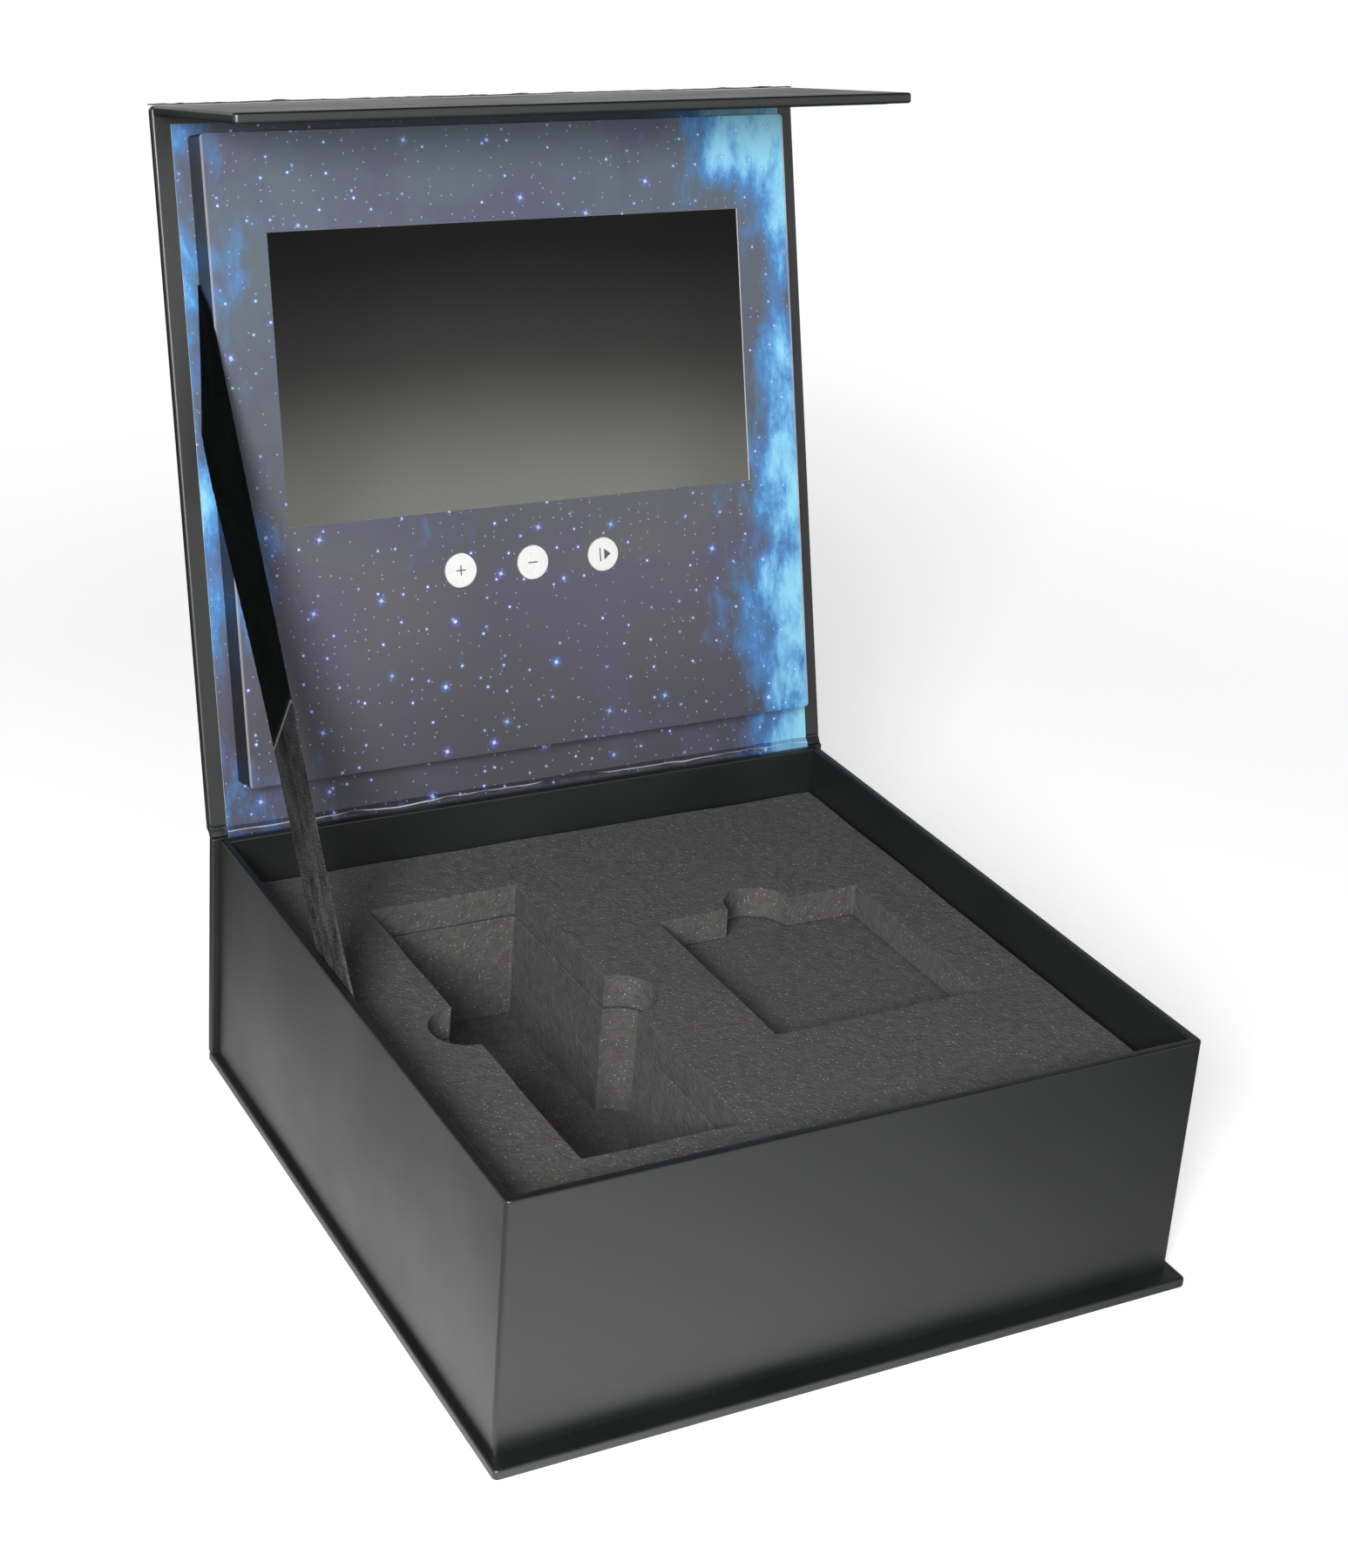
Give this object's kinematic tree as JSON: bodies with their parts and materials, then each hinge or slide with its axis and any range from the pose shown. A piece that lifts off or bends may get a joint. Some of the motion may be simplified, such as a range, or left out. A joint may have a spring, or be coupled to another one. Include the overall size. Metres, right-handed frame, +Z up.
{
  "type": "video presentation box",
  "caption": "Rigid board box with a foam tray, a ribbon-stayed lid that carries a video panel with push buttons, and a magnetic closing flap.",
  "frame": {"origin": "middle of the underside of the base board, on the surface that the box stands on", "axes": "+Z up, +X to the right as seen from the front, +Y towards the hinge at the back"},
  "size_m": [0.2096, 0.2678, 0.2922],
  "materials": {
    "greyboard": "matte",
    "soft_touch_paper": "matte",
    "flap_lining": "matte",
    "printed_liner": "satin",
    "printed_panel_paper": "satin",
    "white_card": "matte",
    "foam": "matte",
    "plated_steel": "satin",
    "velvet_ribbon": "matte",
    "display_glass": "gloss",
    "black_plastic": "matte",
    "circuit_board": "satin",
    "socket_steel": "polished",
    "battery_foil": "satin",
    "lead_insulation": "satin",
    "flex_film": "satin",
    "white_button_plastic": "gloss"
  },
  "bodies": {
    "base": {"base_board": "greyboard", "base_wrap": "soft_touch_paper", "spine_board": "greyboard", "spine_wrap": "soft_touch_paper", "tray_front_wall": "greyboard", "tray_back_wall": "greyboard", "tray_left_wall": "greyboard", "tray_right_wall": "greyboard", "tray_floor": "greyboard", "tray_wrap": "soft_touch_paper", "strike_plates": "plated_steel", "sensor_magnet": "plated_steel", "foam_base": "foam", "foam_middle": "foam", "foam_top": "foam", "ribbon_stay": "velvet_ribbon", "lid_fold_paper": "soft_touch_paper", "liner_hinge_strip": "printed_liner"},
    "lid": {"lid_board": "greyboard", "lid_wrap": "soft_touch_paper", "lid_liner": "printed_liner", "panel_back_card": "white_card", "panel_frame": "white_card", "panel_face_card": "white_card", "panel_print_wrap": "printed_panel_paper", "display_frame": "plated_steel", "display_glass": "display_glass", "display_backlight": "black_plastic", "display_pads": "foam", "main_board": "circuit_board", "main_board_chips": "black_plastic", "charging_socket": "socket_steel", "battery": "battery_foil", "battery_leads": "lead_insulation", "speaker": "black_plastic", "speaker_leads": "lead_insulation", "display_flex_cable": "flex_film", "lid_sensor_board": "circuit_board", "lid_sensor": "black_plastic", "key_board": "circuit_board", "key_board_spacers": "black_plastic", "button_switches": "black_plastic", "key_flex_cable": "flex_film"},
    "flap_fold": {"flap_fold_paper": "soft_touch_paper"},
    "flap": {"flap_board": "greyboard", "flap_wrap": "soft_touch_paper", "flap_liner": "flap_lining", "flap_magnets": "plated_steel"},
    "button_plus": {"button_plus": "white_button_plastic"},
    "button_minus": {"button_minus": "white_button_plastic"},
    "button_play": {"button_play": "white_button_plastic"}
  },
  "joints": [
    {"name": "lid_hinge", "type": "hinge", "parent": "base", "child": "lid", "pos_m": [0, 0.1063, 0.07705], "axis": [1, 0, 0], "range_deg": [0, 104.75], "deforming": ["ribbon_stay", "lid_fold_paper", "liner_hinge_strip"]},
    {"name": "flap_fold_hinge", "type": "hinge", "parent": "lid", "child": "flap_fold", "pos_m": [0, 0.15846, 0.28047], "axis": [-1, 0, 0], "range_deg": [0, 5.2]},
    {"name": "flap_hinge", "type": "hinge", "parent": "flap_fold", "child": "flap", "pos_m": [0, 0.15846, 0.28047], "axis": [-1, 0, 0], "range_deg": [0, 95.2]},
    {"name": "button_plus_press", "type": "slide", "parent": "lid", "child": "button_plus", "axis": [0, 0.967, -0.2546], "range_m": [0, 0.0005], "stiffness_N_per_m": 1000},
    {"name": "button_minus_press", "type": "slide", "parent": "lid", "child": "button_minus", "axis": [0, 0.967, -0.2546], "range_m": [0, 0.0005], "stiffness_N_per_m": 1000},
    {"name": "button_play_press", "type": "slide", "parent": "lid", "child": "button_play", "axis": [0, 0.967, -0.2546], "range_m": [0, 0.0005], "stiffness_N_per_m": 1000}
  ],
  "couplings": [
    {"joint": "flap_fold_hinge", "follows": "lid_hinge", "ratio": 0.049642}
  ]
}
